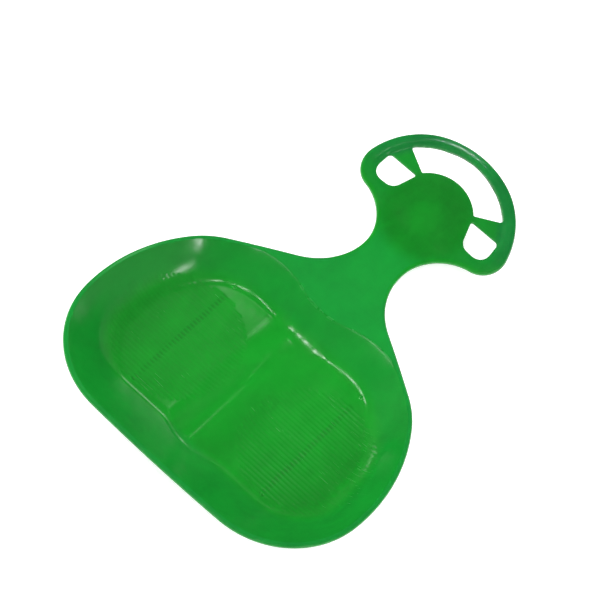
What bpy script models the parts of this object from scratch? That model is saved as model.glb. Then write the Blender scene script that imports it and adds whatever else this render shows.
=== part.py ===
# Snow slider: a two-lobed seat pan with a turned-down rim, a waisted neck and a
# wheel-shaped handle, all walls of one thin plastic moulding.
#
# The moulding is modelled as its natural zones (pan, rim flange, neck, handle
# plate, grip bow, two keel runners).  Neighbouring zones keep a 0.3 mm line
# between them; the real moulding has no seam there.
#
# Design units here are millimetres in a plan frame whose y = 0 line crosses the
# widest part of the seat and whose z = 0 is the upper face of the pan floor.
# place() turns them into metres with the origin at the middle of the footprint
# and z = 0 at the underside of the runners.
import bpy
import numpy as np
from math import radians, degrees, pi, ceil
from mathutils import Vector
from mathutils.geometry import delaunay_2d_cdt

# ---------------------------------------------------------------- dimensions
REAR_Y = -129.7          # rear edge on the centre line
# half outline: tangent arcs (radius, sweep in degrees) from the rear centre to
# the start of the last arc; a negative pair bends the other way (waist)
OUTLINE = ((2600, 2.0), (112.2, 81.7), (209.3, 39.5), (111.2, 21.5), (2300, 2.0),
           (-89.6, -57.9), (-62.3, -78.0), (30.3, 93.6), (96.9, 55.3))

WALL = 3.0               # wall thickness
LIP_W = 5.6              # width of the flat rim
SKIRT_W = 2.6            # thickness of the turned-down edge
SKIRT_H = 4.2            # depth of the turned-down edge, from the rim's top
EDGE_R = 2.4             # rounding of the rim's outer edge
GAP = 0.3                # line between neighbouring zones

# height of the rim / neck / handle surface along the slider (y, z)
EDGE_LINE = ((-131, 52), (-60, 47), (0, 43), (60, 38), (110, 33), (150, 28),
             (200, 21), (250, 15), (300, 14), (340, 20), (380, 31), (434, 46))

# front edge of the hollow: one arc per lobe, joined by a dip on the centre line
LOBE_C, LOBE_R, LOBE_END = (70.0, 71.0), 90.0, 52.0
DIP_C, DIP_R = (0.0, 239.0), 92.0
# foot of the walls: straight at the rear, rounded corners, straight at the front
FOOT_REAR, FOOT_CORNER_R, FOOT_CORNER_X = -60.0, 60.0, 100.0
FOOT_SIDE_R, FOOT_SIDE_C, FOOT_DIP = 98.0, (62.0, 20.0), 9.0
RIDGE_H, RIDGE_W = 9.0, 36.0      # saddle between the two hollows
FOOT_BLEND, TOP_BLEND = 5.0, 3.6  # softness of the foot and of the top edge

# handle
HUB_C, HUB_R = (0.0, 335.8), 55.0
BOW_C, BOW_R = (0.0, 322.5), 97.3         # inner edge of the grip bow
SPOKE_A, SPOKE_B = (40.0, 373.5), (70.6, 388.8)
FINGER_HOLE = ((42.5, 367.0, 2.2), (83.5, 367.0, 4.0), (88.0, 333.5, 15.0), (53.5, 335.0, 14.0))
BEAD_H = 5.0             # crown of the grip bow above the handle plate
BEAD_W = (14.0, 17.0)    # its width at the front and at the sides
BOW_START = 345.0        # where the bow zone ends at each side
NECK_END = 298.0         # where the neck meets the handle plate
DOME_H, DOME_R = 2.2, 18.0

# runners under the two hollows
RUNNER_X, RUNNER_Y0, RUNNER_Y1 = 95.5, -52.0, 106.0
RUNNER_H, RUNNER_W = 4.0, 7.0

Z_SHIFT = WALL + RUNNER_H


# ---------------------------------------------------------------- plan curves
class Outline:
    """Half outline (x >= 0) by arc length, with its inward normal."""

    def __init__(self):
        p, a, self.parts, s = np.array([0.0, REAR_Y]), 0.0, [], 0.0
        for r, sweep in OUTLINE:
            c = p + r * np.array([-np.sin(a), np.cos(a)])
            length = abs(r * radians(sweep))
            self.parts.append((s, length, c, r, a))
            s += length
            a += radians(sweep)
            p = c + r * np.array([np.sin(a), -np.cos(a)])
        r = p[0] / np.sin(a)                      # closing arc: ends on x = 0
        c = p + r * np.array([-np.sin(a), np.cos(a)])
        self.parts.append((s, r * (pi - a), c, r, a))
        self.length = s + r * (pi - a)

    def at(self, s):
        side = -1.0 if s < 0 else 1.0
        s = min(abs(s), self.length)
        for s0, length, c, r, a in self.parts:
            if s <= s0 + length + 1e-9:
                break
        t = a + (s - s0) / r
        p = c + r * np.array([np.sin(t), -np.cos(t)])
        n = np.array([-np.sin(t), np.cos(t)])
        return p * (side, 1), n * (side, 1)

    def run(self, s0, s1, d=0.0, step=7.0):
        """Points from arc length s0 to s1, moved inward by d."""
        n = max(2, int(ceil(abs(s1 - s0) / step)) + 1)
        out = []
        for s in np.linspace(s0, s1, n):
            p, nn = self.at(s)
            out.append(p + nn * d)
        return out

    def find(self, test, lo, hi):
        """Arc length where test(point, normal) changes sign."""
        f0 = test(*self.at(lo))
        for _ in range(60):
            mid = 0.5 * (lo + hi)
            if (test(*self.at(mid)) > 0) == (f0 > 0):
                lo = mid
            else:
                hi = mid
        return 0.5 * (lo + hi)


RIM = Outline()
TIP_Y = RIM.at(RIM.length)[0][1]
Y_SHIFT = 0.5 * (TIP_Y + min(p[1] for p in RIM.run(0, 200, step=1.0)))


def spline(points):
    """Natural cubic spline through the stations."""
    x = np.array([p[0] for p in points], float)
    y = np.array([p[1] for p in points], float)
    n, h = len(x), np.diff(x)
    a, b = np.zeros((n, n)), np.zeros(n)
    a[0, 0] = a[-1, -1] = 1
    for i in range(1, n - 1):
        a[i, i - 1:i + 2] = h[i - 1], 2 * (h[i - 1] + h[i]), h[i]
        b[i] = 6 * ((y[i + 1] - y[i]) / h[i] - (y[i] - y[i - 1]) / h[i - 1])
    m = np.linalg.solve(a, b)

    def f(v):
        v = np.clip(v, x[0], x[-1])
        i = np.clip(np.searchsorted(x, v) - 1, 0, n - 2)
        t, hh = v - x[i], h[i]
        return (m[i] * (hh - t) ** 3 + m[i + 1] * t ** 3) / (6 * hh) \
            + (y[i] / hh - m[i] * hh / 6) * (hh - t) + (y[i + 1] / hh - m[i + 1] * hh / 6) * t
    return f


edge_line = spline(EDGE_LINE)


def seg_dist(px, py, loop):
    """Distance from points to a closed polyline."""
    a = np.array(loop, float)
    b = np.roll(a, -1, axis=0)
    d = b - a
    l2 = np.maximum((d ** 2).sum(1), 1e-12)
    out = np.empty(len(px))
    for k in range(0, len(px), 4000):
        x, y = px[k:k + 4000, None], py[k:k + 4000, None]
        t = np.clip(((x - a[:, 0]) * d[:, 0] + (y - a[:, 1]) * d[:, 1]) / l2, 0, 1)
        q = (x - a[:, 0] - t * d[:, 0]) ** 2 + (y - a[:, 1] - t * d[:, 1]) ** 2
        out[k:k + 4000] = np.sqrt(q.min(1))
    return out


def fillet(corners, step=3.0):
    """Closed loop through (x, y, radius) corners with rounded corners."""
    pts, n = [], len(corners)
    for i in range(n):
        p = np.array(corners[i][:2], float)
        u = np.array(corners[i - 1][:2], float) - p
        v = np.array(corners[(i + 1) % n][:2], float) - p
        u, v = u / np.linalg.norm(u), v / np.linalg.norm(v)
        half = 0.5 * np.arccos(np.clip(u @ v, -1, 1))
        r = corners[i][2]
        mid = (u + v) / np.linalg.norm(u + v)
        c = p + mid * r / np.sin(half)
        a0 = np.arctan2(*(p + u * r / np.tan(half) - c)[::-1])
        a1 = np.arctan2(*(p + v * r / np.tan(half) - c)[::-1])
        da = (a1 - a0 + pi) % (2 * pi) - pi
        m = max(3, int(ceil(abs(da) * r / step)) + 1)
        pts += [c + r * np.array([np.cos(t), np.sin(t)]) for t in a0 + da * np.linspace(0, 1, m)]
    return pts


def arc(c, r, a0, a1, step=5.0):
    m = max(3, int(ceil(abs(a1 - a0) * r / step)) + 1)
    return [np.array([c[0] + r * np.cos(t), c[1] + r * np.sin(t)]) for t in np.linspace(a0, a1, m)]


def mirror(pts):
    """The same curve on the other side, run the other way."""
    return [p * (-1, 1) for p in pts[::-1]]


def smin(a, b, k):
    return 0.5 * (a + b - np.sqrt((a - b) ** 2 + k * k))


def smax(a, b, k):
    return 0.5 * (a + b + np.sqrt((a - b) ** 2 + k * k))


def front_sdf(x, y):
    """Distance inside the front edge of the hollow (negative beyond it)."""
    x = np.abs(x)
    dx, dy = x - LOBE_C[0], y - LOBE_C[1]
    ca, sa = np.cos(radians(LOBE_END)), np.sin(radians(LOBE_END))
    lobe = np.where(ca * dy - sa * dx < 0, LOBE_R - (dx * ca + dy * sa), LOBE_R - np.hypot(dx, dy))
    dip = np.hypot(x - DIP_C[0], y - DIP_C[1]) - DIP_R
    # the two arcs meet on the line through their centres
    split = LOBE_C[0] * (DIP_C[1] - y) / (DIP_C[1] - LOBE_C[1])
    return np.minimum(np.where(x > split, lobe, dip), 110.0)


def foot_sdf(x, y):
    """Distance inside the foot of the walls (negative on the walls)."""
    x = np.abs(x)
    rear = np.where(x < FOOT_CORNER_X, y - FOOT_REAR,
                    FOOT_CORNER_R - np.hypot(x - FOOT_CORNER_X, np.minimum(y, 0)))
    top = FOOT_SIDE_C[1] + FOOT_SIDE_R - FOOT_DIP * np.exp(-(x / 30.0) ** 2)
    front = np.where(x < FOOT_SIDE_C[0], top - y,
                     FOOT_SIDE_R - np.hypot(x - FOOT_SIDE_C[0], np.maximum(y - FOOT_SIDE_C[1], 0)))
    return smin(rear, front, 2.0)


def ramp(v, a, b):
    t = np.clip((v - a) / (b - a), 0, 1)
    return t * t * (3 - 2 * t)


RIM_LOOP = RIM.run(0, RIM.length, step=2.0)[:-1] + mirror(RIM.run(0, RIM.length, step=2.0))[:-1]


# ---------------------------------------------------------------- surface
def surface(x, y):
    """Upper surface without the edge rounding."""
    d = seg_dist(x, y, RIM_LOOP)
    e = edge_line(y)
    top = smin(d - LIP_W, front_sdf(x, y), 5.0)
    foot = -foot_sdf(x, y)
    run = np.maximum(top + foot, 14.0)
    wall = e * foot / run
    ridge = RIDGE_H * (0.5 + 0.5 * np.cos(pi * np.clip(np.abs(x) / RIDGE_W, 0, 1)))
    seat = smin(smax(ridge, wall, FOOT_BLEND), e, TOP_BLEND)
    z = np.where(y < 215, seat, e)
    # crown of the grip bow and the shallow dome of the hub
    w = BEAD_W[0] + (BEAD_W[1] - BEAD_W[0]) * ramp(np.abs(x), 35, 95)
    s = np.clip(2 * d / w - 1, -1, 1)
    z = z + BEAD_H * ramp(y, 312, 342) * (1 - s * s) ** 0.7
    r = np.hypot(x - HUB_C[0], y - HUB_C[1])
    return z + DOME_H * np.exp(-(r / DOME_R) ** 2), d


def heights(x, y):
    """Upper and lower face of the moulding."""
    x, y = np.asarray(x, float), np.asarray(y, float)
    z, d = surface(x, y)
    h = 0.6
    zx, _ = surface(x + h, y)
    zy, _ = surface(x, y + h)
    slope = np.sqrt(1 + ((zx - z) ** 2 + (zy - z) ** 2) / h ** 2)
    low = z - WALL * np.clip(slope, 1, 2.2)
    inner = np.clip(EDGE_R - d, 0, EDGE_R)
    z = z - (EDGE_R - np.sqrt(np.maximum(EDGE_R ** 2 - inner ** 2, 0)))
    low = np.where(d < SKIRT_W + 0.1, np.minimum(edge_line(y) - SKIRT_H, low), low)
    return z, low


def place(x, y, z):
    return Vector((x, y - Y_SHIFT, z + Z_SHIFT)) * 0.001


# ---------------------------------------------------------------- meshing
def inside(px, py, loop):
    a = np.array(loop, float)
    b = np.roll(a, -1, axis=0)
    x, y = px[:, None], py[:, None]
    cross = (a[:, 1] > y) != (b[:, 1] > y)
    dy = np.where(b[:, 1] == a[:, 1], 1, b[:, 1] - a[:, 1])
    xi = a[:, 0] + (y - a[:, 1]) * (b[:, 0] - a[:, 0]) / dy
    return ((cross & (x < xi)).sum(1) % 2) == 1


def thin(points, fixed, gap):
    """Keep the points that stand at least gap away from fixed and each other."""
    keep = [np.array(p, float) for p in fixed]
    new = []
    for p in points:
        q = np.array(keep)
        if ((q - p) ** 2).sum(1).min() >= gap * gap:
            keep.append(np.array(p, float))
            new.append(np.array(p, float))
    return new


def shell(name, loops, extra, grid, material):
    """Closed solid over a plan region: loops[0] outside, the others holes."""
    bounds = [np.array(l) for l in loops]
    fixed = np.vstack(bounds)
    lo, hi = bounds[0].min(0), bounds[0].max(0)
    cand = [np.array(p, float) for p in extra]
    gy = np.arange(lo[1], hi[1], grid * 0.87)
    for j, yy in enumerate(gy):
        for xx in np.arange(0.0 if j % 2 else grid * 0.5, hi[0], grid):
            cand.append(np.array([xx, yy]))
            if xx > 0:
                cand.append(np.array([-xx, yy]))
    c = np.array(cand)
    ok = inside(c[:, 0], c[:, 1], loops[0])
    for hole in loops[1:]:
        ok &= ~inside(c[:, 0], c[:, 1], hole)
    n_extra = len(extra)
    near = np.min([seg_dist(c[:, 0], c[:, 1], l) for l in loops], axis=0)
    ext = [p for p, k, m in zip(cand[:n_extra], ok[:n_extra], near[:n_extra]) if k and m > 0.25]
    rest = [p for p, k, m in zip(cand[n_extra:], ok[n_extra:], near[n_extra:]) if k and m > grid * 0.35]
    ext_keep = thin(ext, [(1e6, 1e6)], 0.2)
    rest = thin(rest, list(fixed) + ext_keep, grid * 0.62)
    pts = [Vector((float(p[0]), float(p[1]))) for p in list(fixed) + ext_keep + rest]
    edges, k = [], 0
    for l in bounds:
        m = len(l)
        edges += [(k + i, k + (i + 1) % m) for i in range(m)]
        k += m
    vs, _, fs, _, _, _ = delaunay_2d_cdt(pts, edges, [], 0, 1e-5)
    xy = np.array([(v.x, v.y) for v in vs])
    tri = np.array([f for f in fs if len(f) == 3])
    cen = xy[tri].mean(1)
    ok = inside(cen[:, 0], cen[:, 1], loops[0])
    for hole in loops[1:]:
        ok &= ~inside(cen[:, 0], cen[:, 1], hole)
    tri = tri[ok]
    a, b, c3 = xy[tri[:, 0]], xy[tri[:, 1]], xy[tri[:, 2]]
    area = (b[:, 0] - a[:, 0]) * (c3[:, 1] - a[:, 1]) - (b[:, 1] - a[:, 1]) * (c3[:, 0] - a[:, 0])
    tri[area < 0] = tri[area < 0][:, ::-1]
    zt, zb = heights(xy[:, 0], xy[:, 1])
    used = sorted(set(tri.ravel().tolist()))
    new = {v: i for i, v in enumerate(used)}
    n = len(used)
    verts = [place(xy[v, 0], xy[v, 1], zt[v]) for v in used] + [place(xy[v, 0], xy[v, 1], zb[v]) for v in used]
    faces, count = [], {}
    for t in tri.tolist():
        i, j, k = (new[v] for v in t)
        faces += [(i, j, k), (k + n, j + n, i + n)]
        for e in ((i, j), (j, k), (k, i)):
            count[e] = count.get(e, 0) + 1
    for (i, j) in count:
        if (j, i) not in count:
            faces += [(i, i + n, j + n), (i, j + n, j)]
    return add(name, verts, faces, material)


def add(name, verts, faces, material):
    mesh = bpy.data.meshes.new(name)
    mesh.from_pydata([tuple(v) for v in verts], [], faces)
    mesh.validate()
    mesh.update()
    mesh.shade_smooth()
    mesh.set_sharp_from_angle(angle=radians(35))
    mesh.materials.append(material)
    ob = bpy.data.objects.new(name, mesh)
    bpy.context.collection.objects.link(ob)
    return ob


def plastic(name, colour, rough):
    m = bpy.data.materials.new(name)
    m.use_nodes = True
    b = m.node_tree.nodes["Principled BSDF"]
    b.inputs["Base Color"].default_value = (*colour, 1)
    b.inputs["Roughness"].default_value = rough
    b.inputs["Metallic"].default_value = 0.0
    return m


# ---------------------------------------------------------------- zones
def front_curve(offset, step=6.0):
    """Front edge of the hollow moved outward, from the right end to the middle."""
    s = LOBE_C[0] / (LOBE_R + DIP_R)
    a_knee = pi / 2 + np.arcsin(s)
    right = arc(LOBE_C, LOBE_R + offset, a_right, a_knee, step)
    dip = arc(DIP_C, DIP_R - offset, -pi / 2 + np.arcsin(s), -pi / 2, step)
    return right + dip[1:]


for ob in list(bpy.data.objects):
    bpy.data.objects.remove(ob, do_unlink=True)

green = plastic("moulded_green", (0.018, 0.30, 0.034), 0.28)
green_bow = plastic("moulded_green_bow", (0.017, 0.22, 0.045), 0.30)

LINE = 3.0               # the pan zone ends this far beyond the hollow's front edge
s_join = RIM.find(lambda p, n: float(front_sdf(*(p + n * (LIP_W + GAP / 2))[:, None])[0]) + LINE, 180.0, 520.0)
p_join, n_join = RIM.at(s_join)
j = p_join + n_join * (LIP_W + GAP) - np.array(LOBE_C)
a_right = np.arctan2(j[1], j[0])
# tangential step that clears the rim zone at the join
s_rear, s_front = s_join - GAP / 2, s_join + GAP / 2

# 1 rim flange
outer = RIM.run(-s_rear, -7.0, 0.0) + RIM.run(0.0, s_rear, 0.0)
inner = RIM.run(-s_rear, -7.0, LIP_W) + RIM.run(0.0, s_rear, LIP_W)
rings = []
for d in (SKIRT_W, SKIRT_W + 0.5):
    rings += RIM.run(-s_rear + 1.5, -7.0, d) + RIM.run(0.0, s_rear - 1.5, d)
rings += RIM.run(-s_rear + 1.5, -7.0, 0.9) + RIM.run(0.0, s_rear - 1.5, 0.9)
shell("rim_flange", [outer + inner[::-1]], rings, 60.0, green)

# 2 seat pan
side = RIM.run(0.0, s_rear - 1.0, LIP_W + GAP)
front = front_curve(LINE)[1:]
half = side + front
pan = half + mirror(half)[1:-1]
extra = []
for off in (-9.0, -4.0, 0.0, 4.0, 9.0):       # along the foot of the walls
    r1, r2 = FOOT_CORNER_R - off, FOOT_SIDE_R - off
    cur = [np.array([xx, FOOT_REAR + off]) for xx in np.arange(0.0, FOOT_CORNER_X, 10.0)]
    cur += arc((FOOT_CORNER_X, 0.0), r1, -pi / 2, 0.0, 9.0)
    cur += [np.array([FOOT_CORNER_X + r1, 10.0])]
    cur += arc(FOOT_SIDE_C, r2, 0.0, pi / 2, 9.0)
    cur += [np.array([xx, FOOT_SIDE_C[1] + r2 - FOOT_DIP * np.exp(-(xx / 30.0) ** 2)])
            for xx in np.arange(FOOT_SIDE_C[0] - 8.0, -1.0, -9.0)]
    extra += cur + [p * (-1, 1) for p in cur if p[0] > 0.5]
for d in (LIP_W + 2.5, LIP_W + 6.0):
    cur = RIM.run(0.0, s_rear - 3.0, d)
    extra += cur + [p * (-1, 1) for p in cur if p[0] > 0.5]
for off in (0.0, -4.0):
    cur = front_curve(off, 8.0)[2:]
    extra += cur + [p * (-1, 1) for p in cur if p[0] > 0.5]
shell("seat_pan", [pan], extra, 13.0, green)

# 3 neck plate
s_neck = RIM.find(lambda p, n: p[1] - (NECK_END - GAP / 2), s_front, RIM.length)
side = RIM.run(s_front, s_neck, 0.0)
inner_front = front_curve(LINE + GAP)
corner = RIM.at(s_front)[0] + RIM.at(s_front)[1] * (LIP_W - 0.5)
half = [p for p in inner_front[::-1][:-1]] + [corner] + side
neck = half + mirror(half)[:-1]
rings = []
for d in (0.9, SKIRT_W, SKIRT_W + 0.5):
    cur = RIM.run(s_front + 1.5, s_neck - 1.5, d)
    rings += cur + [p * (-1, 1) for p in cur]
shell("neck_plate", [neck], rings, 14.0, green)

# 4 handle plate: hub, spokes and the two finger holes
s_plate = RIM.find(lambda p, n: p[1] - (NECK_END + GAP / 2), s_front, RIM.length)
s_bow = RIM.find(lambda p, n: p[1] - BOW_START, s_plate, RIM.length)
side = RIM.run(s_plate, s_bow - GAP / 2, 0.0, 5.0)
y_cut = side[-1][1]
r_in = BOW_R - GAP
a0 = np.arcsin((y_cut - BOW_C[1]) / r_in)
a1 = np.arctan2(SPOKE_B[1] - BOW_C[1], SPOKE_B[0] - BOW_C[0])
rail = arc(BOW_C, r_in, a0, a1, 5.0)
b0 = np.arctan2(SPOKE_A[1] - HUB_C[1], SPOKE_A[0] - HUB_C[0])
hub = arc(HUB_C, HUB_R, b0, pi / 2, 4.5)
half = side + rail + hub
plate = half + mirror(half)[1:]
hole = fillet(FINGER_HOLE, 3.0)
rings = []
for d in (0.9, SKIRT_W, SKIRT_W + 0.5, 8.5, 15.0):
    cur = RIM.run(s_plate + 1.5, s_bow - 1.5, d, 6.0)
    rings += cur + [p * (-1, 1) for p in cur]
shell("handle_plate", [plate, hole, mirror(hole)], rings, 7.5, green)

# 5 grip bow
side = RIM.run(s_bow + GAP / 2, RIM.length, 0.0, 5.0)
y_cut = side[0][1]
a0 = np.arcsin((y_cut - BOW_C[1]) / BOW_R)
half_out = side
rail = arc(BOW_C, BOW_R, a0, pi / 2, 5.0)
bow = half_out + mirror(half_out)[1:] + mirror(rail)[::-1][:-1] + rail[::-1]
rings = []
for d in (0.9, SKIRT_W, SKIRT_W + 0.5, 5.0, 7.5, 10.5):
    cur = RIM.run(s_bow + 1.5, RIM.length - 3.0, d, 5.0)
    rings += cur + [p * (-1, 1) for p in cur]
shell("grip_bow", [bow], rings, 40.0, green_bow)

# 6, 7 runners: long keels with rounded ends and tapered flanks
for name, sx in (("runner_left", -1), ("runner_right", 1)):
    rows = ((-WALL - GAP, RUNNER_W / 2), (-WALL - RUNNER_H * 0.75, RUNNER_W / 2 - 0.6),
            (-WALL - RUNNER_H, RUNNER_W / 2 - 1.4))
    verts, n = [], 0
    for z, r in rows:
        loop = arc((RUNNER_X * sx, RUNNER_Y1 - RUNNER_W / 2), r, 0, pi, 1.8) + \
            arc((RUNNER_X * sx, RUNNER_Y0 + RUNNER_W / 2), r, pi, 2 * pi, 1.8)
        if n == 0:
            n = len(loop)
        elif len(loop) != n:
            m = n // 2
            loop = [np.array([RUNNER_X * sx + r * np.cos(t), RUNNER_Y1 - RUNNER_W / 2 + r * np.sin(t)])
                    for t in np.linspace(0, pi, m)] + \
                   [np.array([RUNNER_X * sx + r * np.cos(t), RUNNER_Y0 + RUNNER_W / 2 + r * np.sin(t)])
                    for t in np.linspace(pi, 2 * pi, n - m)]
        verts += [place(p[0], p[1], z) for p in loop]
    faces = [tuple(range(n)), tuple(range(3 * n - 1, 2 * n - 1, -1))]
    for k in range(2):
        for i in range(n):
            i2 = (i + 1) % n
            faces.append((k * n + i, (k + 1) * n + i, (k + 1) * n + i2, k * n + i2))
    add(name, verts, faces, green)
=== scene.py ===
from math import radians, pi, ceil, tan

import bmesh
import bpy
import numpy as np
from mathutils import Matrix, Vector
from mathutils.geometry import delaunay_2d_cdt
from mathutils.kdtree import KDTree


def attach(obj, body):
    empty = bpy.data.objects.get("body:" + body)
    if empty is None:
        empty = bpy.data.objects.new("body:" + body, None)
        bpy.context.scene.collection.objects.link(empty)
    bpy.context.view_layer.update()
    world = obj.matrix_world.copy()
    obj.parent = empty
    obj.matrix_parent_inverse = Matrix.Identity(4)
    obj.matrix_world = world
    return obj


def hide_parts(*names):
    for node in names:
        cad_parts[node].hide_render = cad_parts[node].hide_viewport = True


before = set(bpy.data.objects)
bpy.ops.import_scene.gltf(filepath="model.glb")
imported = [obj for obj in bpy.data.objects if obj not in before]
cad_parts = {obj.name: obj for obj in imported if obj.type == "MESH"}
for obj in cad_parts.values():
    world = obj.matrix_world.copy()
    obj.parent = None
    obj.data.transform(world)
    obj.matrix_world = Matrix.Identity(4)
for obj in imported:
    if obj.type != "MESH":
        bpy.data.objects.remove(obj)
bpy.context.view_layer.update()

# ================================================================ dimensions
REAR_Y = -129.7
OUTLINE = ((2600, 2.0), (112.2, 81.7), (209.3, 39.5), (111.2, 21.5), (2300, 2.0),
           (-89.6, -57.9), (-62.3, -78.0), (30.3, 93.6), (96.9, 55.3))
WALL, LIP_W, SKIRT_W, SKIRT_H, EDGE_R = 3.0, 5.6, 2.6, 4.2, 2.4
EDGE_LINE = ((-131, 52), (-60, 47), (0, 43), (60, 38), (110, 33), (150, 28),
             (200, 21), (250, 15), (300, 14), (340, 20), (380, 31), (434, 46))
LOBE_C, LOBE_R, LOBE_END = (70.0, 71.0), 90.0, 52.0
DIP_C, DIP_R = (0.0, 239.0), 92.0
FOOT_REAR, FOOT_CORNER_R, FOOT_CORNER_X = -60.0, 60.0, 100.0
FOOT_SIDE_R, FOOT_SIDE_C, FOOT_DIP = 98.0, (62.0, 20.0), 4.5
RIDGE_H, RIDGE_W, RIDGE_FADE, FLOOR_RISE = 9.0, 46.0, 0.55, 1.8
FOOT_BLEND, TOP_BLEND, LIP_CROWN = (5.5, 16.0, 18.0), 0.15, 0.4
HUB_C, HUB_R = (0.0, 335.8), 55.0
BOW_C, BOW_R = (0.0, 322.5), 97.3
SPOKE_A, SPOKE_B = (40.0, 373.5), (70.6, 388.8)
FINGER_HOLE = ((42.5, 367.0, 2.6), (83.5, 367.0, 5.5), (86.2, 335.5, 15.0), (53.5, 337.0, 14.0))
BEAD_H, BEAD_W = 3.8, (14.0, 17.0)
DISH_H, DOME_H, DOME_R = 0.8, 1.0, 20.0
RUNNER_X, RUNNER_Y0, RUNNER_Y1 = 95.5, -52.0, 106.0
RUNNER_H, RUNNER_W = 4.0, 7.0
Z_SHIFT = WALL + RUNNER_H

# seat pads: fine ribs across the slider inside a circle, cut by a grooved spine
PAD_C, PAD_R = (96.0, 19.0), 77.0
RIB_PITCH, RIB_COUNT, RIB_H = 5.0, 31, 0.28
SPINE_X, SPINE_W, SPINE_DEPTH = 95.5, 7.0, 0.14
PIN_Y = (-54.0, 112.0)            # small round pips at both ends of a spine
HOLE_R, HOLE_R_LOW = 1.0, 0.6     # rounding of the openings' edges


# ================================================================ plan curves
class Outline:
    """Half outline (x >= 0) by arc length, with its inward normal."""

    def __init__(self):
        p, a, self.parts, s = np.array([0.0, REAR_Y]), 0.0, [], 0.0
        for r, sweep in OUTLINE:
            c = p + r * np.array([-np.sin(a), np.cos(a)])
            length = abs(r * radians(sweep))
            self.parts.append((s, length, c, r, a))
            s += length
            a += radians(sweep)
            p = c + r * np.array([np.sin(a), -np.cos(a)])
        r = p[0] / np.sin(a)
        c = p + r * np.array([-np.sin(a), np.cos(a)])
        self.parts.append((s, r * (pi - a), c, r, a))
        self.length = s + r * (pi - a)

    def at(self, s):
        side = -1.0 if s < 0 else 1.0
        s = min(abs(s), self.length)
        for s0, length, c, r, a in self.parts:
            if s <= s0 + length + 1e-9:
                break
        t = a + (s - s0) / r
        p = c + r * np.array([np.sin(t), -np.cos(t)])
        n = np.array([-np.sin(t), np.cos(t)])
        return p * (side, 1), n * (side, 1)

    def run(self, s0, s1, d=0.0, step=2.0):
        n = max(2, int(ceil(abs(s1 - s0) / step)) + 1)
        out = []
        for s in np.linspace(s0, s1, n):
            p, nn = self.at(s)
            out.append(p + nn * d)
        return out

    def loop(self, d=0.0, step=2.0):
        half = self.run(0, self.length, d, step)
        return half[:-1] + mirror(half)[:-1]


def mirror(pts):
    return [p * (-1, 1) for p in pts[::-1]]


RIM = Outline()
Y_SHIFT = 0.5 * (RIM.at(RIM.length)[0][1] + min(p[1] for p in RIM.run(0, 200, step=1.0)))


def spline(points):
    """Natural cubic spline through the stations."""
    x = np.array([p[0] for p in points], float)
    y = np.array([p[1] for p in points], float)
    n, h = len(x), np.diff(x)
    a, b = np.zeros((n, n)), np.zeros(n)
    a[0, 0] = a[-1, -1] = 1
    for i in range(1, n - 1):
        a[i, i - 1:i + 2] = h[i - 1], 2 * (h[i - 1] + h[i]), h[i]
        b[i] = 6 * ((y[i + 1] - y[i]) / h[i] - (y[i] - y[i - 1]) / h[i - 1])
    m = np.linalg.solve(a, b)

    def f(v):
        v = np.clip(v, x[0], x[-1])
        i = np.clip(np.searchsorted(x, v) - 1, 0, n - 2)
        t, hh = v - x[i], h[i]
        return (m[i] * (hh - t) ** 3 + m[i + 1] * t ** 3) / (6 * hh) \
            + (y[i] / hh - m[i] * hh / 6) * (hh - t) + (y[i + 1] / hh - m[i + 1] * hh / 6) * t
    return f


edge_line = spline(EDGE_LINE)


def seg_dist(px, py, loop):
    """Distance from points to a closed polyline."""
    a = np.array(loop, float)
    b = np.roll(a, -1, axis=0)
    d = b - a
    l2 = np.maximum((d ** 2).sum(1), 1e-12)
    out = np.empty(len(px))
    for k in range(0, len(px), 3000):
        x, y = px[k:k + 3000, None], py[k:k + 3000, None]
        t = np.clip(((x - a[:, 0]) * d[:, 0] + (y - a[:, 1]) * d[:, 1]) / l2, 0, 1)
        q = (x - a[:, 0] - t * d[:, 0]) ** 2 + (y - a[:, 1] - t * d[:, 1]) ** 2
        out[k:k + 3000] = np.sqrt(q.min(1))
    return out


def rim_dist(x, y):
    """Distance from points to the outline, arc by arc."""
    p = np.c_[np.abs(x), y]
    best = np.full(len(p), 1e9)
    for _, length, c, r, a in RIM.parts:
        u = (p - c) / r
        t = np.arctan2(u[:, 0], -u[:, 1])
        lo_t, hi_t = sorted((a, a + length / r))
        t = lo_t + np.mod(t - lo_t, 2 * pi)
        on = np.abs(np.hypot(p[:, 0] - c[0], p[:, 1] - c[1]) - abs(r))
        for e in (a, a + length / r):
            q = c + r * np.array([np.sin(e), -np.cos(e)])
            best = np.minimum(best, np.hypot(p[:, 0] - q[0], p[:, 1] - q[1]))
        best = np.where(t <= hi_t, np.minimum(best, on), best)
    return best


def hole_dist(x, y):
    """Distance to the nearest opening in the handle."""
    out = np.full(len(x), 1e3)
    near = np.where(y > 300)[0]
    if len(near):
        out[near] = np.min([seg_dist(x[near], y[near], h) for h in HOLES], axis=0)
    return out


def inside(px, py, loop):
    a = np.array(loop, float)
    b = np.roll(a, -1, axis=0)
    dy = np.where(b[:, 1] == a[:, 1], 1, b[:, 1] - a[:, 1])
    out = np.empty(len(px), bool)
    for k in range(0, len(px), 3000):
        x, y = px[k:k + 3000, None], py[k:k + 3000, None]
        cross = (a[:, 1] > y) != (b[:, 1] > y)
        xi = a[:, 0] + (y - a[:, 1]) * (b[:, 0] - a[:, 0]) / dy
        out[k:k + 3000] = ((cross & (x < xi)).sum(1) % 2) == 1
    return out


def arc(c, r, a0, a1, step):
    m = max(3, int(ceil(abs(a1 - a0) * r / step)) + 1)
    return [np.array([c[0] + r * np.cos(t), c[1] + r * np.sin(t)]) for t in np.linspace(a0, a1, m)]


def line(a, b, step):
    a, b = np.array(a, float), np.array(b, float)
    m = max(2, int(ceil(np.linalg.norm(b - a) / step)) + 1)
    return [a + (b - a) * t for t in np.linspace(0, 1, m)]


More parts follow.
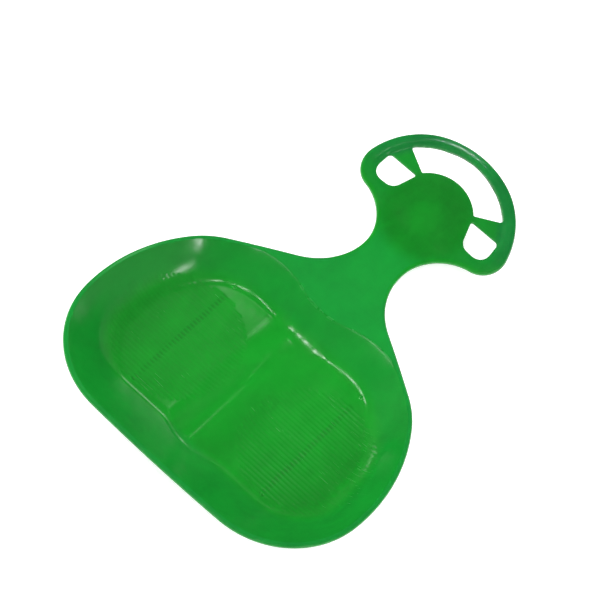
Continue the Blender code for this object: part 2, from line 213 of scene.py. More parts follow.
def soften(pieces, radii):
    """Closed loop from open pieces that meet at corners; each corner is rounded."""
    out = []
    n = len(pieces)
    cut = []
    for i in range(n):
        a, b = np.array(pieces[i - 1]), np.array(pieces[i])
        corner = b[0]
        u, v = a[-4] - corner, b[3] - corner
        u, v = u / np.linalg.norm(u), v / np.linalg.norm(v)
        half = 0.5 * np.arccos(np.clip(u @ v, -1, 1))
        cut.append((corner, radii[i] / np.tan(half)))
    for i in range(n):
        piece = np.array(pieces[i])
        d0 = np.linalg.norm(piece - cut[i][0], axis=1)
        d1 = np.linalg.norm(piece - cut[(i + 1) % n][0], axis=1)
        t0, t1 = cut[i][1], cut[(i + 1) % n][1]
        body = [p for p, e, f in zip(piece, d0, d1) if e > t0 and f > t1]
        ends = []
        for c, t, seq in ((cut[i][0], t0, piece), (cut[(i + 1) % n][0], t1, piece[::-1])):
            dd = np.linalg.norm(seq - c, axis=1)
            k = int(np.argmax(dd > t))
            w = (t - dd[k - 1]) / (dd[k] - dd[k - 1])
            ends.append(seq[k - 1] + (seq[k] - seq[k - 1]) * w)
        out.append([ends[0]] + [p for p in body if min(np.linalg.norm(p - ends[0]), np.linalg.norm(p - ends[1])) > 0.3] + [ends[1]])
    loop = []
    for i in range(n):
        a, b, c = out[i - 1][-1], cut[i][0], out[i][0]
        m = max(4, int(ceil(np.linalg.norm(a - c) / 0.7)))
        for t in np.linspace(0, 1, m + 1)[:-1]:       # arc-like blend across the corner
            w = 0.80
            f0, f1, f2 = (1 - t) ** 2, 2 * w * t * (1 - t), t ** 2
            loop.append((a * f0 + b * f1 + c * f2) / (f0 + f1 + f2))
        loop += out[i][:-1]
    return [np.array(p) for p in loop]


def smin(a, b, k):
    return 0.5 * (a + b - np.sqrt((a - b) ** 2 + k * k))


def cmin(a, b, k):
    """Smooth minimum that equals the smaller value once they differ by k."""
    h = np.clip(0.5 + 0.5 * (b - a) / k, 0, 1)
    return b + (a - b) * h - k * h * (1 - h)


def ramp(v, a, b):
    t = np.clip((v - a) / (b - a), 0, 1)
    return t * t * (3 - 2 * t)


def front_sdf(x, y):
    """Distance inside the front edge of the hollow (negative beyond it)."""
    x = np.abs(x)
    dx, dy = x - LOBE_C[0], y - LOBE_C[1]
    ca, sa = np.cos(radians(LOBE_END)), np.sin(radians(LOBE_END))
    lobe = np.where(ca * dy - sa * dx < 0, LOBE_R - (dx * ca + dy * sa), LOBE_R - np.hypot(dx, dy))
    dip = np.hypot(x - DIP_C[0], y - DIP_C[1]) - DIP_R
    split = LOBE_C[0] * (DIP_C[1] - y) / (DIP_C[1] - LOBE_C[1])
    return np.minimum(np.where(x > split, lobe, dip), 110.0)


def foot_sdf(x, y):
    """Distance inside the foot of the walls (negative on the walls)."""
    x = np.abs(x)
    rear = np.where(x < FOOT_CORNER_X, y - FOOT_REAR,
                    FOOT_CORNER_R - np.hypot(x - FOOT_CORNER_X, np.minimum(y, 0)))
    top = FOOT_SIDE_C[1] + FOOT_SIDE_R - FOOT_DIP * np.exp(-(x / 30.0) ** 2)
    front = np.where(x < FOOT_SIDE_C[0], top - y,
                     FOOT_SIDE_R - np.hypot(x - FOOT_SIDE_C[0], np.maximum(y - FOOT_SIDE_C[1], 0)))
    return smin(rear, front, 2.0)


# ================================================================ outlines
RIM_LOOP = RIM.loop(0.0, 2.0)

# hand opening: bow's inner arc, the spokes' front edges and the hub's arc
_a1 = np.arctan2(SPOKE_B[1] - BOW_C[1], SPOKE_B[0] - BOW_C[0])
_b0 = np.arctan2(SPOKE_A[1] - HUB_C[1], SPOKE_A[0] - HUB_C[0])
_spoke = line(SPOKE_A, SPOKE_B, 1.2)
HAND = soften([arc(BOW_C, BOW_R, _a1, pi - _a1, 1.4), mirror(_spoke),
               arc(HUB_C, HUB_R, pi - _b0, _b0, 1.4), _spoke],
              [3.6, 3.6, 1.6, 1.6])

_corner = [np.array(c[:2]) for c in FINGER_HOLE]
FINGER = soften([line(_corner[i], _corner[(i + 1) % 4], 1.2) for i in range(4)],
                [c[2] * 0.98 for c in FINGER_HOLE])
HOLES = [HAND, FINGER, mirror(FINGER)]


# ================================================================ surface
def rib_field(x, y):
    """Height of the ribs, spines and pips above the smooth pan."""
    ax = np.abs(x)
    k = np.round((y - PAD_C[1]) / RIB_PITCH)
    inside_k = np.abs(k) <= (RIB_COUNT - 1) // 2
    yk = k * RIB_PITCH                                   # from the pad's centre
    half = np.sqrt(np.maximum(PAD_R ** 2 - yk ** 2, 0.0))
    across = np.abs((y - PAD_C[1]) - yk)
    prof = (0.5 + 0.5 * np.cos(2 * pi * across / RIB_PITCH)) ** 1.3
    end = ramp(half - np.abs(ax - PAD_C[0]), 0.0, 2.4)
    rib = np.where(inside_k, RIB_H * prof * end, 0.0)
    h = rib - SPINE_DEPTH * spine_mask(ax, y) * (1 - prof)
    for yp in PIN_Y:
        r = np.hypot(ax - SPINE_X, y - yp)
        h = h + 0.9 * (1 - ramp(r, 0.4, 2.3))
    return h


def spine_mask(ax, y):
    """The strip along a spine where the floor between the ribs lies lower."""
    return (1 - ramp(np.abs(ax - SPINE_X), SPINE_W / 2 - 0.9, SPINE_W / 2 + 0.7)) \
        * ramp(y, PIN_Y[0] - 3.0, PIN_Y[0] + 1.0) * (1 - ramp(y, 96.0, 100.0))


def hollow(x, y, d):
    """Distance inside the upper edge of the hollow."""
    return cmin(d - LIP_W, front_sdf(x, y), 4.0)


def base_surface(x, y, d):
    e = edge_line(y)
    top = hollow(x, y, d)
    foot = -foot_sdf(x, y)
    run = np.maximum(top + foot, 14.0)
    wall = e * foot / run
    ax = np.abs(x)
    # the saddle gets lower towards the front wall
    ridge = RIDGE_H * (1 - RIDGE_FADE * ramp(y, 20, 112)) * (0.5 + 0.5 * np.cos(pi * np.clip(ax / RIDGE_W, 0, 1)))
    # the floor rises a little towards the front wall
    ridge = ridge + FLOOR_RISE * ramp(y, 72, 118)
    # the fillet at the foot is tight, but wide at the sides and at the saddle's front end
    fillet = FOOT_BLEND[0] + (FOOT_BLEND[1] - FOOT_BLEND[0]) * (1 - ramp(ax, 18, 42)) * ramp(y, 20, 90) \
        + (FOOT_BLEND[2] - FOOT_BLEND[0]) * ramp(ax, 104, 150)
    lip = e - LIP_CROWN * (1 - np.clip(d / LIP_W, 0, 1)) ** 2
    seat = cmin(-cmin(-ridge, -wall, fillet), lip, TOP_BLEND)
    z = np.where(y < 215, seat, e)
    w = BEAD_W[0] + (BEAD_W[1] - BEAD_W[0]) * ramp(np.abs(x), 35, 95)
    s = np.clip(2 * d / w - 1, -1, 1)
    z = z + BEAD_H * ramp(y, 318, 372) * (1 - np.abs(s) ** np.where(s < 0, 4.0, 2.4))
    r = np.hypot(x - HUB_C[0], y - HUB_C[1])
    dish = -DISH_H * (1 - ramp(r, HUB_R - 24, HUB_R + 2))
    return z + dish + DOME_H * np.exp(-(r / DOME_R) ** 2)


def round_off(dist, r):
    t = np.clip(r - dist, 0, r)
    return r - np.sqrt(np.maximum(r * r - t * t, 0))


def keel(x, y):
    """Height of the keels below the lower face, 0 to 1."""
    ax = np.abs(x)
    half = RUNNER_W / 2
    yy = np.clip(y, RUNNER_Y0 + half, RUNNER_Y1 - half)
    u = np.hypot(ax - RUNNER_X, y - yy)
    return 1 - ramp(u, half - 1.4, half + 0.6)


def faces(x, y):
    """Upper and lower height at plan points."""
    d = rim_dist(x, y)
    dh = hole_dist(x, y)
    z = base_surface(x, y, d)
    h = 0.5
    zx = base_surface(x + h, y, rim_dist(x + h, y))
    zy = base_surface(x, y + h, rim_dist(x, y + h))
    slope = np.sqrt(1 + ((zx - z) ** 2 + (zy - z) ** 2) / h ** 2)
    low = z - WALL * np.clip(slope, 1, 2.2)
    rim_low = edge_line(y) - SKIRT_H
    t = ramp(d, SKIRT_W - 0.3, SKIRT_W + 0.9)
    low = np.where(low > rim_low, rim_low * (1 - t) + low * t, low)
    low = low + round_off(d, 0.7) + round_off(dh, HOLE_R_LOW)
    low = low - RUNNER_H * keel(x, y)
    top = z - round_off(d, EDGE_R) - round_off(dh, HOLE_R) + rib_field(x, y)
    return top, low


def place(xy, z):
    return np.c_[xy[:, 0], xy[:, 1] - Y_SHIFT, z + Z_SHIFT] * 0.001


# ================================================================ meshing
def hex_grid(step, y0, y1, x1):
    out = []
    for j, yy in enumerate(np.arange(y0, y1, step * 0.866)):
        xs = np.arange(0.0 if j % 2 else step / 2, x1, step)
        out.append(np.c_[xs, np.full(len(xs), yy)])
    out = np.vstack(out)
    m = out[out[:, 0] > 1e-6]
    return np.vstack([out, m * (-1, 1)])


def both(pts):
    pts = np.array(pts, float).reshape(-1, 2)
    m = pts[pts[:, 0] > 1e-6]
    return np.vstack([pts, m * (-1, 1)])


def tree_of(pts):
    t = KDTree(len(pts))
    for i, p in enumerate(pts):
        t.insert((p[0], p[1], 0.0), i)
    t.balance()
    return t


def crease_loop(step=1.8):
    """The upper edge of the hollow, a crease all round."""
    a = np.linspace(-pi / 2, pi / 2, 400)
    r = np.arange(50.0, 205.0)[:, None]

    def at(r):
        x, y = r * np.cos(a), 15.0 + r * np.sin(a)
        return hollow(x.ravel(), y.ravel(), rim_dist(x.ravel(), y.ravel())).reshape(x.shape)

    first = np.argmax(at(r) < 0, axis=0)
    near, away = r[first - 1, 0], r[first, 0]
    for _ in range(24):
        mid = 0.5 * (near + away)
        inner = at(mid) > 0
        near, away = np.where(inner, mid, near), np.where(inner, away, mid)
    p = np.c_[near * np.cos(a), 15.0 + near * np.sin(a)]
    s = np.r_[0, np.cumsum(np.hypot(*np.diff(p, axis=0).T))]
    t = np.linspace(0, s[-1], int(s[-1] / step) + 1)
    half = list(np.c_[np.interp(t, s, p[:, 0]), np.interp(t, s, p[:, 1])])
    return half[:-1] + mirror(half)[:-1]


CREASE = crease_loop()
RING_D = [EDGE_R * (1 - np.sin(radians(a))) for a in (75, 60, 45, 30, 15)] + [EDGE_R]
HOLE_D = [HOLE_R * (1 - np.sin(radians(a))) for a in (70, 50, 28)] + [HOLE_R, 1.9]


def offset_loop(loop, d):
    """The loop moved outward (away from the opening) by d."""
    a = np.array(loop)
    t = np.roll(a, -1, 0) - np.roll(a, 1, 0)
    t /= np.linalg.norm(t, axis=1)[:, None]
    n = np.c_[t[:, 1], -t[:, 0]]
    area = np.sum(a[:, 0] * np.roll(a[:, 1], -1) - np.roll(a[:, 0], -1) * a[:, 1])
    return a + n * d * (1 if area > 0 else -1)


def rib_points():
    """Rows of points along each rib of the right pad."""
    rows = []
    offs = (-1.8, -1.2, -0.6, 0.0, 0.6, 1.2, 1.8, 2.5)
    n = (RIB_COUNT - 1) // 2
    for k in range(-n, n + 1):
        yk = k * RIB_PITCH
        half = float(np.sqrt(PAD_R ** 2 - yk ** 2))
        x0 = PAD_C[0]
        s = SPINE_X - x0
        cols = {-half, -half + 0.6, -half + 1.2, -half + 1.8, -half + 2.4,
                half, half - 0.6, half - 1.2, half - 1.8, half - 2.4,
                s - 5.4, s - 4.6, s - 3.9, s - 3.2, s, s + 3.2, s + 3.9, s + 4.6, s + 5.4}
        keep = [c for c in cols if abs(c) <= half + 1e-9]
        for c in np.arange(-half, half, 3.0):
            if min(abs(c - q) for q in keep) > 1.4:
                keep.append(c)
        for off in offs:
            if off == 2.5 and k == n:
                continue
            rows += [(x0 + c, PAD_C[1] + yk + off) for c in sorted(keep)]
    return both(rows)


def foot_rows():
    """Rows beside the foot of the walls and along the front edge of the hollow."""
    rows = []
    for o in (-8.0, -6.2, -4.8, -3.6, -2.6, -1.7, -0.9, -0.1, 0.7, 1.6, 2.7, 4.0, 5.6, 7.5):
        r, rs = FOOT_CORNER_R - o, FOOT_SIDE_R - o
        cx = FOOT_CORNER_X
        rows += [(v, FOOT_REAR + o) for v in np.arange(0.0, cx, 2.2)]
        rows += [(cx + r * np.cos(t), r * np.sin(t)) for t in np.arange(-pi / 2, 0.0, 2.2 / r)]
        rows += [(cx + r, v) for v in np.arange(0.0, FOOT_SIDE_C[1], 2.2)]
        rows += [(FOOT_SIDE_C[0] + rs * np.cos(t), FOOT_SIDE_C[1] + rs * np.sin(t)) for t in np.arange(0.0, pi / 2, 2.2 / rs)]
        rows += [(v, FOOT_SIDE_C[1] + FOOT_SIDE_R - FOOT_DIP * np.exp(-(v / 30.0) ** 2) - o) for v in np.arange(0.0, FOOT_SIDE_C[0], 2.2)]
    for o in (-4.2, -2.8, -1.4, -0.7, 0.7, 1.4, 2.8, 4.2):
        r, rd = LOBE_R - o, DIP_R + o
        m = np.hypot(*(np.array(DIP_C) - LOBE_C))
        a0 = np.arctan2(DIP_C[1] - LOBE_C[1], DIP_C[0] - LOBE_C[0])
        rows += [(LOBE_C[0] + r * np.cos(t), LOBE_C[1] + r * np.sin(t)) for t in np.arange(a0, radians(LOBE_END - 12), -1.6 / r)]
        rows += [(DIP_C[0] + rd * np.cos(t), DIP_C[1] + rd * np.sin(t)) for t in np.arange(-pi / 2, a0 - pi, 1.6 / rd)]
    return both(rows)


def build_points(upper):
    """Plan points of one face: the boundary loops first, then the inner points."""
    fixed = [np.array(RIM_LOOP)] + [np.array(h) for h in HOLES]
    seeds = [(np.array(CREASE), 0.0)] if upper else []
    for d in RING_D + [SKIRT_W + 0.3, SKIRT_W + 0.9, 4.2, 4.9, 6.3, 7.1, 8.4, 10.4, 12.6, 15.0]:
        seeds.append((np.array(RIM.loop(d, 2.0)), 0.22 if d < 4 else 0.5 if d < 8 else 0.9))
    for h in HOLES:
        for d in HOLE_D:
            seeds.append((offset_loop(h, d), 0.13))
    if upper:
        seeds.append((rib_points(), 0.24))
        seeds.append((foot_rows(), 0.45))
        for yp in PIN_Y:
            pip = [(SPINE_X, yp)]
            for r in (0.5, 1.1, 1.7, 2.3):
                m = int(6 * r) + 6
                pip += [(SPINE_X + r * np.cos(t), yp + r * np.sin(t)) for t in np.arange(m) * 2 * pi / m]
            seeds.append((both(pip), 0.3))
        grid = hex_grid(2.2, -131, 434, 201)
        away = np.hypot(np.abs(grid[:, 0]) - PAD_C[0], grid[:, 1] - PAD_C[1]) > PAD_R + 0.4
        seeds.append((grid[away], 1.3))
    else:
        half = RUNNER_W / 2
        rows = []
        for yy in np.arange(RUNNER_Y0 + half, RUNNER_Y1 - half + 0.1, 3.0):
            rows += [(RUNNER_X + u * s, yy) for u in (half - 2.4, half - 1.4, half - 1.0, half - 0.6, half - 0.2, half + 0.2, half + 0.6)
                     for s in (-1, 1)]
            rows.append((RUNNER_X, yy))
        for c, a0 in ((RUNNER_Y1 - half, 0.0), (RUNNER_Y0 + half, pi)):
            for r in (half - 1.4, half - 1.0, half - 0.6, half - 0.2, half + 0.2, half + 0.6):
                rows += [(RUNNER_X + r * np.cos(t), c + r * np.sin(t)) for t in a0 + np.linspace(0, pi, 13)[1:-1]]
        seeds.append((both(rows), 0.24))
        seeds.append((hex_grid(2.9, -131, 434, 201), 1.9))
    out = [np.vstack(fixed)]
    for pts, gap in seeds:
        pts = np.asarray(pts, float)
        ok = inside(pts[:, 0], pts[:, 1], RIM_LOOP)
        for h in HOLES:
            box = (pts[:, 1] > 300)
            ok[box] &= ~inside(pts[box, 0], pts[box, 1], h)
        pts = pts[ok]
        margin = np.minimum(rim_dist(pts[:, 0], pts[:, 1]), hole_dist(pts[:, 0], pts[:, 1]))
        pts = pts[margin > (0.03 if gap < 0.3 else 0.5)]
        tree = tree_of(np.vstack(out))
        out.append(np.array([p for p in pts if tree.find((p[0], p[1], 0.0))[2] >= gap]).reshape(-1, 2))
    return fixed, np.vstack(out[1:])


def triangulate(bound, pts, upper):
    allp = np.vstack(bound + [pts])
    edges, k = [], 0
    for l in bound:
        m = len(l)
        edges += [(k + i, k + (i + 1) % m) for i in range(m)]
        k += m
    if upper:
        m = len(CREASE)
        creases.extend((k + i, k + (i + 1) % m) for i in range(m))
        edges += creases
    vs, _, fs, _, _, _ = delaunay_2d_cdt([Vector((float(p[0]), float(p[1]))) for p in allp], edges, [], 0, 1e-6)
    xy = np.array([(v.x, v.y) for v in vs])
    tri = np.array([f for f in fs if len(f) == 3])
    # only triangles with all corners on the boundary can lie outside
    rim = (tri < k).all(1)
    cen = xy[tri[rim]].mean(1)
    ok = inside(cen[:, 0], cen[:, 1], bound[0])
    for h in bound[1:]:
        ok &= ~inside(cen[:, 0], cen[:, 1], h)
    keep = np.ones(len(tri), bool)
    keep[rim] = ok
    tri = tri[keep]
    a, b, c = xy[tri[:, 0]], xy[tri[:, 1]], xy[tri[:, 2]]
    area = (b[:, 0] - a[:, 0]) * (c[:, 1] - a[:, 1]) - (b[:, 1] - a[:, 1]) * (c[:, 0] - a[:, 0])
    tri[area < 0] = tri[area < 0][:, ::-1]
    return xy, tri, k


def build_shell():
    verts, tris = [], []
    base, loops = 0, None
    rims = []
    for upper in (True, False):
        bound, pts = build_points(upper)
        xy, tri, _ = triangulate(bound, pts, upper)
        top, low = faces(xy[:, 0], xy[:, 1])
        verts.append(place(xy, top if upper else low))
        tris.append((tri if upper else tri[:, ::-1]) + base)
        rims.append((base, xy))
        base += len(xy)
        loops = bound
    # side walls between the two rims of every boundary loop
    (b0, xy0), (b1, xy1) = rims
    k = 0
    walls = []
    for n_loop, l in enumerate(loops):
        m = len(l)
        for i in range(m):
            p, q = k + i, k + (i + 1) % m
            if n_loop == 0:
                walls += [(b0 + p, b1 + p, b1 + q), (b0 + p, b1 + q, b0 + q)]
            else:
                walls += [(b0 + p, b1 + q, b1 + p), (b0 + p, b0 + q, b1 + q)]
        k += m
    walls = np.array(walls)
    return np.vstack(verts), np.vstack(tris + [walls])


creases = []
co, tri = build_shell()
mesh = bpy.data.meshes.new("slider_shell")
mesh.from_pydata(co.tolist(), [], tri.tolist())
bm = bmesh.new()
bm.from_mesh(mesh)
bmesh.ops.recalc_face_normals(bm, faces=bm.faces)
open_edges = sum(1 for e in bm.edges if len(e.link_faces) != 2)
print("shell", len(bm.verts), "vertices", len(bm.faces), "faces", open_edges, "edges not shared by two faces", "volume", round(bm.calc_volume() * 1e6, 1), "cm3")
for f in bm.faces:
    f.smooth = True
bm.verts.ensure_lookup_table()
for i, j in creases:
    bm.edges.get((bm.verts[i], bm.verts[j])).smooth = False
bm.to_mesh(mesh)
bm.free()
shell = bpy.data.objects.new("slider_shell", mesh)
bpy.context.collection.objects.link(shell)


# ================================================================ material
def paint(name, values):
    at = mesh.attributes.new(name, "FLOAT", "POINT")
    at.data.foreach_set("value", np.asarray(values, np.float32))


# plan coordinates of the finished vertices, for the zones of painted light and shade, of wear and of roughness
px = co[:, 0] * 1000
py = co[:, 1] * 1000 + Y_SHIFT
d_rim, d_hole = rim_dist(px, py), hole_dist(px, py)
r_hub = np.hypot(px - HUB_C[0], py - HUB_C[1])
on_neck = ramp(-cmin(d_rim - LIP_W, front_sdf(px, py), 4.0), 0.0, 2.5) * (d_rim > LIP_W - 1)
on_wall = ramp(-foot_sdf(px, py), 0.0, 14.0) * (1 - on_neck) * (py < 215)
on_lip = (1 - ramp(d_rim, LIP_W - 1.0, LIP_W + 0.8)) * (1 - ramp(py, 235, 300))
on_hub = 1 - ramp(r_hub, HUB_R - 14, HUB_R + 12)
on_eye = 1 - ramp(r_hub, 8, 34)
on_bow = ramp(py, 320, 375) * ramp(r_hub, HUB_R - 2, HUB_R + 10) * (1 - ramp(d_rim, 17, 26))
off_hub = (1 - on_hub) * (1 - on_bow)
far = ramp(py, 262, 312)
# painted light and shade: the thin neck and the lip painted bright as if lit through from below, the walls painted
# darker as shaded, the hub's ring and the thick bow painted dark and the hub's centre lighter, as the shading of the
# dish and dome
paint("painted_glow_shade", 0.50 - 0.10 * on_wall + on_neck * off_hub * (-0.02 - 0.08 * far)
      + 0.02 * on_lip - 0.42 * on_hub + 0.30 * on_eye - 0.35 * on_bow * (1 - on_hub))
# a paler, bluish tint painted for reflected haze and for less light coming through: most on the bow, also on the
# walls, the neck and the lip
paint("painted_haze_tint", 0.05 + 0.28 * on_wall + on_neck * off_hub * (0.50 - 0.28 * far)
      + 0.78 * on_bow * (1 - on_hub) + 0.25 * on_lip)
# painted shade in the floor between the ribs of the pads, deepest along the spines' grooves
across = np.abs(py - PAD_C[1] - np.round((py - PAD_C[1]) / RIB_PITCH) * RIB_PITCH)
in_pad = 1 - ramp(np.hypot(np.abs(px) - PAD_C[0], py - PAD_C[1]), PAD_R - 3, PAD_R)
paint("painted_groove_shade", np.maximum(spine_mask(np.abs(px), py), 0.16 * in_pad) * ramp(across, 0.6, 1.9))
edge = np.maximum(1 - d_rim / 2.2, 1 - d_hole / 1.4)
paint("edge", np.clip(edge, 0, 1))
pad = 1 - ramp(np.hypot(np.abs(px) - PAD_C[0], py - PAD_C[1]), PAD_R - 8, PAD_R + 18)
paint("seat", pad)
paint("grip", on_bow)
# the front edge of the hollow, where hands and boots rub
brow = (1 - ramp(np.abs(front_sdf(px, py)), 1.4, 3.2)) * ramp(d_rim, LIP_W - 1, LIP_W + 3)
paint("brow", brow)


class Nodes:
    """Short notation for a material's node tree."""

    def __init__(self, name):
        self.mat = bpy.data.materials.new(name)
        self.mat.use_nodes = True
        self.tree = self.mat.node_tree
        self.bsdf = self.tree.nodes["Principled BSDF"]
        self.place = Vector((-1600.0, 600.0))

    def add(self, kind, ins=None, **props):
        n = self.tree.nodes.new(kind)
        n.location = self.place
        self.place.y -= 180
        if self.place.y < -900:
            self.place = Vector((self.place.x + 200, 600.0))
        for k, v in props.items():
            setattr(n, k, v)
        for k, v in (ins or {}).items():
            if isinstance(v, bpy.types.NodeSocket):
                self.tree.links.new(v, n.inputs[k])
            else:
                n.inputs[k].default_value = v
        return n

    def math(self, op, a, b=0.0, clamp=False):
        return self.add("ShaderNodeMath", {0: a, 1: b}, operation=op, use_clamp=clamp).outputs[0]

    def spread(self, v, a, b, c=0.0, d=1.0):
        return self.add("ShaderNodeMapRange", {"Value": v, "From Min": a, "From Max": b, "To Min": c, "To Max": d}).outputs[0]

    def value(self, name):
        return self.add("ShaderNodeAttribute", attribute_name=name).outputs["Fac"]

    def noise(self, where, scale, detail=2.0, rough=0.5, warp=0.0):
        return self.add("ShaderNodeTexNoise", {"Vector": where, "Scale": scale, "Detail": detail,
                                               "Roughness": rough, "Distortion": warp}).outputs[0]

    def mix(self, fac, a, b, blend="MIX"):
        n = self.tree.nodes.new("ShaderNodeMix")
        n.location = self.place
        n.data_type, n.blend_type = "RGBA", blend
        for k, v in ((0, fac), (6, a), (7, b)):
            if isinstance(v, bpy.types.NodeSocket):
                self.tree.links.new(v, n.inputs[k])
            else:
                n.inputs[k].default_value = v
        return n.outputs[2]


def plastic():
    g = Nodes("moulded_green")
    where = g.add("ShaderNodeTexCoord").outputs["Object"]
    painted_glow_shade, painted_haze_tint, edge, seat, painted_groove_shade, grip, brow = (
        g.value(n) for n in ("painted_glow_shade", "painted_haze_tint", "edge", "seat", "painted_groove_shade", "grip", "brow"))

    # uneven thickness and flow marks: cloudy patches, drawn out along the slider
    drawn = g.add("ShaderNodeMapping", {"Vector": where, "Scale": (1.0, 0.45, 1.0)}).outputs[0]
    cloud = g.noise(drawn, 26.0, 3.0, 0.55, 0.6)
    blot = g.noise(where, 95.0, 2.0, 0.6, 0.4)
    fine = g.noise(where, 310.0, 2.0, 0.6)
    speck = g.noise(where, 1500.0, 1.0, 0.5)
    # the tone starts from the painted light and shade, with random cloudy patches added
    tone = g.math("ADD", painted_glow_shade, g.spread(cloud, 0.3, 0.7, -0.14, 0.14))
    tone = g.math("ADD", tone, g.spread(blot, 0.3, 0.7, -0.05, 0.05))
    tone = g.math("ADD", tone, g.spread(fine, 0.3, 0.7, -0.03, 0.03))
    # painted shade between the ribs and in the spines' grooves
    tone = g.math("SUBTRACT", tone, g.math("MULTIPLY", painted_groove_shade, 0.40))
    tone = g.math("ADD", tone, g.spread(speck, 0.3, 0.7, -0.02, 0.02), True)

    # dark to bright green by the tone; the bluish pair is mixed in by the painted haze tint
    warm = g.mix(tone, (0.0028, 0.140, 0.0078, 1), (0.0045, 0.270, 0.0135, 1))
    blue = g.mix(tone, (0.0035, 0.132, 0.0260, 1), (0.0070, 0.272, 0.0400, 1))
    col = g.mix(painted_haze_tint, warm, blue)

    # fine scuffs: short thin lines in two directions, most of them where people sit
    scuff = None
    for turn, scale in ((0.5, (42.0, 900.0, 42.0)), (-0.9, (60.0, 1100.0, 60.0))):
        m = g.add("ShaderNodeMapping", {"Vector": where, "Rotation": (0, 0, turn), "Scale": scale}).outputs[0]
        lines = g.spread(g.noise(m, 1.0, 1.0, 0.5), 0.66, 0.74)
        part = g.spread(g.noise(where, 22.0 * (1.3 + turn), 1.0), 0.52, 0.66)
        one = g.math("MULTIPLY", lines, part, True)
        scuff = one if scuff is None else g.math("MAXIMUM", scuff, one)
    scuff = g.math("MULTIPLY", scuff, g.spread(seat, 0.0, 1.0, 0.25, 1.0))
    col = g.mix(g.math("MULTIPLY", scuff, 0.14), col, (0.06, 0.34, 0.08, 1))

    # rubbed edges are paler and duller
    rub = g.math("MULTIPLY", edge, g.spread(g.noise(where, 120.0, 3.0, 0.6), 0.42, 0.62), True)
    col = g.mix(g.math("MULTIPLY", rub, 0.18), col, (0.06, 0.36, 0.09, 1))
    g.tree.links.new(col, g.bsdf.inputs["Base Color"])

    rough = g.spread(g.noise(where, 48.0, 3.0, 0.6), 0.3, 0.7, 0.12, 0.19)
    rough = g.math("ADD", rough, g.math("MULTIPLY", scuff, 0.14))
    rough = g.math("ADD", rough, g.math("MULTIPLY", rub, 0.12))
    rough = g.math("ADD", rough, g.math("MULTIPLY", seat, 0.04))
    rough = g.math("ADD", rough, g.math("MULTIPLY", grip, 0.03))
    rough = g.math("ADD", rough, g.math("MULTIPLY", brow, 0.12))
    g.tree.links.new(rough, g.bsdf.inputs["Roughness"])

    # skin of the moulding: slight waviness, orange peel and the scuffs' depth
    wave = g.noise(where, 42.0, 2.0, 0.5)
    peel = g.noise(where, 420.0, 2.0, 0.6)
    relief = g.math("ADD", g.math("MULTIPLY", wave, 0.9), g.math("MULTIPLY", peel, 0.10))
    relief = g.math("SUBTRACT", relief, g.math("MULTIPLY", scuff, 0.05))
    bump = g.add("ShaderNodeBump", {"Height": relief, "Strength": 1.0, "Distance": 0.00022}).outputs[0]
    g.tree.links.new(bump, g.bsdf.inputs["Normal"])
    g.bsdf.inputs["IOR"].default_value = 1.5
    g.mat.diffuse_color = (0.018, 0.30, 0.034, 1)
    return g.mat


mesh.materials.append(plastic())
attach(shell, "root")
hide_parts("seat_pan", "rim_flange", "neck_plate", "handle_plate", "grip_bow", "runner_left", "runner_right")

# ================================================================ stage
floor_mesh = bpy.data.meshes.new("floor")
bm = bmesh.new()
bmesh.ops.create_circle(bm, cap_ends=True, radius=6.0, segments=96)
bm.to_mesh(floor_mesh)
bm.free()
floor = bpy.data.objects.new("floor", floor_mesh)
floor.location.z = -0.0004
bpy.context.collection.objects.link(floor)
fm = bpy.data.materials.new("floor_pale")
fm.use_nodes = True
fb = fm.node_tree.nodes["Principled BSDF"]
fb.inputs["Base Color"].default_value = (0.9, 0.9, 0.9, 1)
fb.inputs["Roughness"].default_value = 0.9
fb.inputs["Specular IOR Level"].default_value = 0.1
fb.inputs["Emission Color"].default_value = (1, 1, 1, 1)      # a light table
fb.inputs["Emission Strength"].default_value = 0.5
floor_mesh.materials.append(fm)


def aim(obj, target):
    d = Vector(target) - obj.location
    obj.rotation_mode = "QUATERNION"
    obj.rotation_quaternion = d.to_track_quat("-Z", "Y")


SEAT = Vector((0.0, -0.12, 0.03))


def light(name, at, size, power, to=(0, 0, 0)):
    """Flat light; its place and its target are relative to the seat."""
    l = bpy.data.lights.new(name, "AREA")
    l.shape = "RECTANGLE"
    l.size, l.size_y = size
    l.energy = power
    o = bpy.data.objects.new(name, l)
    o.location = SEAT + Vector(at)
    bpy.context.collection.objects.link(o)
    aim(o, SEAT + Vector(to))
    return o


def beam(name, at, size, bright, to, half):
    """A light with a grid in front: it reaches only half degrees off its axis."""
    half = radians(half)
    o = light(name, at, size, bright * pi * pi / 4 * size[0] * size[1] * (1 - half / tan(half)), to)
    o.data.shape = "ELLIPSE"
    o.data.spread = 2 * half


# a lamp in four parts over the rear of the seat, for the foot of the front wall
beam("lamp_1", (-0.89, -0.50, 2.1), (0.20, 0.30), 26, (0.11, 0.09, -0.015), 5)
beam("lamp_2", (-0.50, -0.48, 2.2), (0.30, 0.30), 26, (0.085, 0.09, -0.015), 5)
beam("lamp_3", (-0.08, -0.43, 2.2), (0.30, 0.34), 34, (0.07, 0.09, -0.015), 5)
beam("lamp_4", (0.55, -0.42, 2.2), (0.24, 0.44), 44, (0.03, 0.09, -0.015), 5)
beam("kicker", (1.61, -0.42, 1.23), (0.66, 0.66), 24, (-0.146, 0.06, 0.0), 5)
beam("window", (1.60, -1.06, 0.68), (0.45, 0.60), 1.1, (-0.155, 0.075, 0.0), 8)
beam("panel", (-0.755, 0.90, 2.23), (0.34, 0.30), 4.5, (-0.055, 0.0765, -0.02), 5)
beam("sheet", (-0.38, 1.07, 0.33), (0.26, 0.20), 7.0, (-0.075, -0.085, -0.015), 5)
beam("rim", (-0.95, 1.19, 1.56), (0.12, 0.66), 4.5, (-0.20, 0.0, 0.0), 5.5)
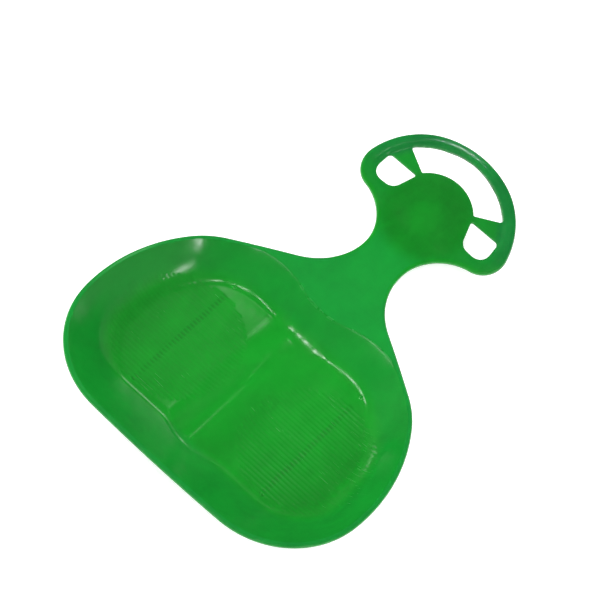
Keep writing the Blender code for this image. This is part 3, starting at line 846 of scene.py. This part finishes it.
beam("low", (-1.50, 0.20, 0.62), (0.36, 0.30), 8.0, (0.154, 0.035, -0.015), 5)
beam("rake", (-0.258, 0.04, 2.2), (0.24, 0.12), 20, (0.095, -0.055, -0.02), 2)
beam("spark", (-0.376, 0.143, 2.23), (0.05, 0.05), 2600, (-0.027, 0.4135, 0.026), 1.2)
# the tent's cloth lights the scene softly and doesn't show in the gloss
for name, at, size, power in (("top", (0.1, -0.1, 2.6), (2.6, 2.6), 38), ("left", (-2.2, 0.0, 1.5), (3.0, 1.4), 88),
                              ("right", (2.4, 0.0, 1.0), (3.0, 1.4), 46), ("near", (0.0, -2.4, 1.0), (3.0, 1.4), 22),
                              ("far", (0.0, 2.6, 1.0), (3.0, 1.4), 18)):
    light("tent_" + name, at, size, power).visible_glossy = False

# studio surroundings: bright low down, dim overhead
world = bpy.data.worlds.new("studio")
bpy.context.scene.world = world
world.use_nodes = True
wt = world.node_tree
bg = wt.nodes["Background"]
tc = wt.nodes.new("ShaderNodeTexCoord")
sep = wt.nodes.new("ShaderNodeSeparateXYZ")
cr = wt.nodes.new("ShaderNodeValToRGB")
wt.links.new(tc.outputs["Generated"], sep.inputs[0])
wt.links.new(sep.outputs["Z"], cr.inputs[0])
# the left side of the room is darker
side = wt.nodes.new("ShaderNodeMapRange")
side.inputs["From Min"].default_value, side.inputs["From Max"].default_value = -1.0, 0.1
side.inputs["To Min"].default_value, side.inputs["To Max"].default_value = 0.5, 1.0
wt.links.new(sep.outputs["X"], side.inputs["Value"])
wt.links.new(cr.outputs[0], bg.inputs[0])
wt.links.new(side.outputs["Result"], bg.inputs[1])
ramp_el = cr.color_ramp.elements
ramp_el[0].position, ramp_el[0].color = 0.0, (0.36, 0.36, 0.36, 1)
ramp_el[1].position, ramp_el[1].color = 1.0, (0.06, 0.06, 0.06, 1)
for pos, v in ((0.2, 0.32), (0.4, 0.25), (0.6, 0.2), (0.75, 0.14)):
    e = ramp_el.new(pos)
    e.color = (v, v, v, 1)

# ================================================================ camera
cam_data = bpy.data.cameras.new("camera")
cam_data.sensor_width = 36.0
cam_data.lens = 120.0
cam = bpy.data.objects.new("camera", cam_data)
right = Vector((0.7367, 0.6543, 0.1706))
down = Vector((0.6434, -0.6008, -0.4744))
ahead = Vector((-0.2079, 0.4592, -0.8637))
eye = Vector((437.141, -885.006 - Y_SHIFT, 1955.837 + Z_SHIFT)) * 0.001
m = Matrix((right, -down, -ahead)).transposed().to_4x4()
m.translation = eye
cam.matrix_world = m
cam_data.clip_start, cam_data.clip_end = 0.05, 50
bpy.context.collection.objects.link(cam)
bpy.context.scene.camera = cam
bpy.context.scene.view_settings.view_transform = "Standard"
